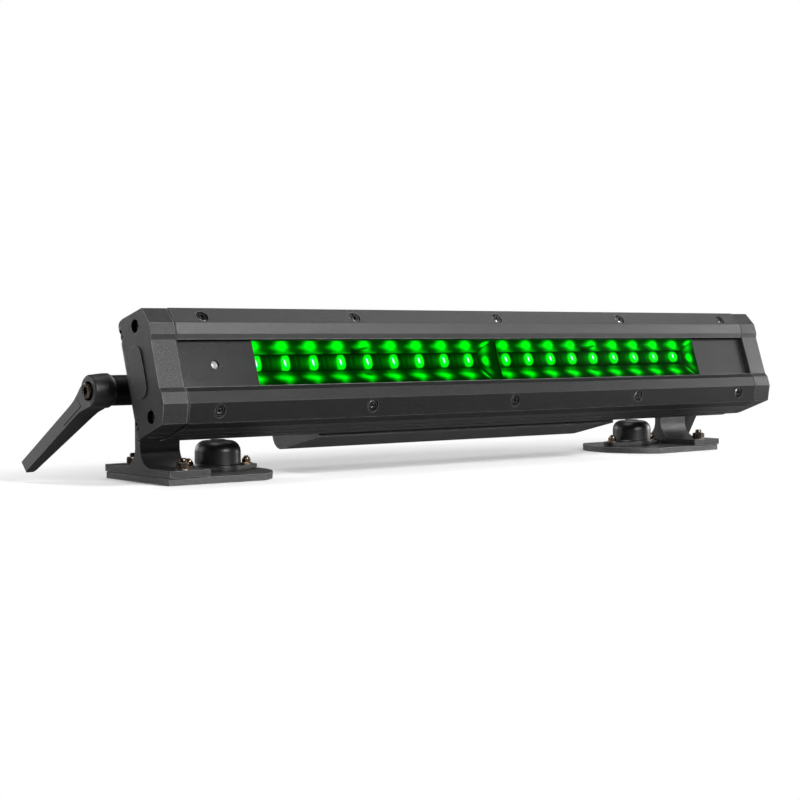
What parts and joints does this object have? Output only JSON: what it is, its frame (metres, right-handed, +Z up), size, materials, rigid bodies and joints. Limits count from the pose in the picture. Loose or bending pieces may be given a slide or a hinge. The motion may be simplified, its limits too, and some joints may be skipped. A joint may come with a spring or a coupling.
{
  "type": "led strip batten",
  "caption": "Slim floor-standing LED strip light with sealed end caps, a rear driver box and two tilting feet locked by clamping levers.",
  "frame": {"origin": "centre of the bounding box in plan, on the floor the feet stand on", "axes": "+X along the lamp to its right end seen from the front, -Y out of the front glass, +Z up; the lamp leans back by 18.45 degrees at rest"},
  "size_m": [0.6144, 0.1184, 0.1078],
  "materials": {
    "powder_coat": "fine textured dark grey powder coat on extruded and machined aluminium",
    "plate_coat": "fine textured dark grey powder coat on steel plate",
    "lever_coat": "semi-matt dark grey plastic-coated die casting",
    "front_glass": "clear toughened glass with a black printed border behind it",
    "window_glass": "smoked clear window",
    "black_rubber": "matt black rubber",
    "black_gloss": "glossy black",
    "black_plastic": "satin black plastic",
    "reflector_foil": "mirror-bright trough glowing green from its LEDs",
    "led_board": "white solder mask with lit LED domes",
    "circuit_board": "green solder mask",
    "black_steel": "black oxide steel",
    "bronze_steel": "bronze-toned passivated steel",
    "zinc_steel": "zinc-plated steel",
    "supply_steel": "plain aluminium case, filled with potting resin"
  },
  "bodies": {
    "lamp": {"housing_extrusion": "powder_coat", "top_clamp_rail": "powder_coat", "bottom_clamp_rail": "powder_coat", "left_end_cap": "powder_coat", "right_end_cap": "powder_coat", "driver_box_cover": "powder_coat", "left_pivot_lug": "powder_coat", "right_pivot_lug": "powder_coat", "front_glass": "front_glass", "display_window": "window_glass", "glass_gasket": "black_rubber", "driver_box_gasket": "black_rubber", "left_cap_seal": "black_rubber", "right_cap_seal": "black_rubber", "power_inlet": "black_plastic", "power_outlet": "black_plastic", "data_inlet": "black_plastic", "data_outlet": "black_plastic", "vent_plug": "black_plastic", "left_reflector": "reflector_foil", "right_reflector": "reflector_foil", "left_led_board": "led_board", "right_led_board": "led_board", "control_board": "circuit_board", "top_rail_screw_1": "black_steel", "top_rail_screw_2": "black_steel", "top_rail_screw_3": "black_steel", "top_rail_screw_4": "black_steel", "top_rail_screw_5": "black_steel", "bottom_rail_screw_1": "black_steel", "bottom_rail_screw_2": "black_steel", "bottom_rail_screw_3": "black_steel", "bottom_rail_screw_4": "black_steel", "bottom_rail_screw_5": "black_steel", "remote_receiver": "zinc_steel", "power_supply": "supply_steel"},
    "left_foot": {"left_foot_plate": "plate_coat", "left_t_bracket": "powder_coat", "left_lock_receptacle": "black_gloss", "left_spacer_sleeve": "black_plastic", "left_front_bolt": "bronze_steel", "left_rear_bolt": "bronze_steel"},
    "left_clamp": {"left_clamp_stud": "zinc_steel", "left_retaining_screw": "bronze_steel", "left_lift_spring": "zinc_steel"},
    "left_handle": {"left_lever_handle": "lever_coat"},
    "right_foot": {"right_foot_plate": "plate_coat", "right_t_bracket": "powder_coat", "right_lock_receptacle": "black_gloss", "right_spacer_sleeve": "black_plastic", "right_front_bolt": "bronze_steel", "right_rear_bolt": "bronze_steel"},
    "right_clamp": {"right_clamp_stud": "zinc_steel", "right_retaining_screw": "bronze_steel", "right_lift_spring": "zinc_steel"},
    "right_handle": {"right_lever_handle": "lever_coat"},
    "button_1": {"menu_button_1": "black_rubber"},
    "button_2": {"menu_button_2": "black_rubber"},
    "button_3": {"menu_button_3": "black_rubber"},
    "button_4": {"menu_button_4": "black_rubber"}
  },
  "joints": [
    {"name": "left_foot_tilt", "type": "hinge", "parent": "lamp", "child": "left_foot", "pos_m": [-0.2375, 0.01126, 0.0575], "axis": [1, 0, 0], "range_deg": [-15, 165]},
    {"name": "left_clamp_turn", "type": "hinge", "parent": "lamp", "child": "left_clamp", "pos_m": [-0.275, 0.01126, 0.0575], "axis": [1, 0, 0], "range_deg": [0, 150]},
    {"name": "left_handle_lift", "type": "slide", "parent": "left_clamp", "child": "left_handle", "axis": [-1, 0, 0], "range_m": [0, 0.0025], "stiffness_N_per_m": 800, "springref_m": -0.004, "deforming": ["left_lift_spring"]},
    {"name": "right_foot_tilt", "type": "hinge", "parent": "lamp", "child": "right_foot", "pos_m": [0.2375, 0.01126, 0.0575], "axis": [1, 0, 0], "range_deg": [-15, 165]},
    {"name": "right_clamp_turn", "type": "hinge", "parent": "lamp", "child": "right_clamp", "pos_m": [0.275, 0.01126, 0.0575], "axis": [1, 0, 0], "range_deg": [0, 150]},
    {"name": "right_handle_lift", "type": "slide", "parent": "right_clamp", "child": "right_handle", "axis": [1, 0, 0], "range_m": [0, 0.0025], "stiffness_N_per_m": 800, "springref_m": -0.004, "deforming": ["right_lift_spring"]},
    {"name": "menu_button_1_press", "type": "slide", "parent": "lamp", "child": "button_1", "axis": [0, -0.9486, 0.3165], "range_m": [0, 0.0008], "stiffness_N_per_m": 600, "springref_m": -0.001},
    {"name": "menu_button_2_press", "type": "slide", "parent": "lamp", "child": "button_2", "axis": [0, -0.9486, 0.3165], "range_m": [0, 0.0008], "stiffness_N_per_m": 600, "springref_m": -0.001},
    {"name": "menu_button_3_press", "type": "slide", "parent": "lamp", "child": "button_3", "axis": [0, -0.9486, 0.3165], "range_m": [0, 0.0008], "stiffness_N_per_m": 600, "springref_m": -0.001},
    {"name": "menu_button_4_press", "type": "slide", "parent": "lamp", "child": "button_4", "axis": [0, -0.9486, 0.3165], "range_m": [0, 0.0008], "stiffness_N_per_m": 600, "springref_m": -0.001}
  ]
}
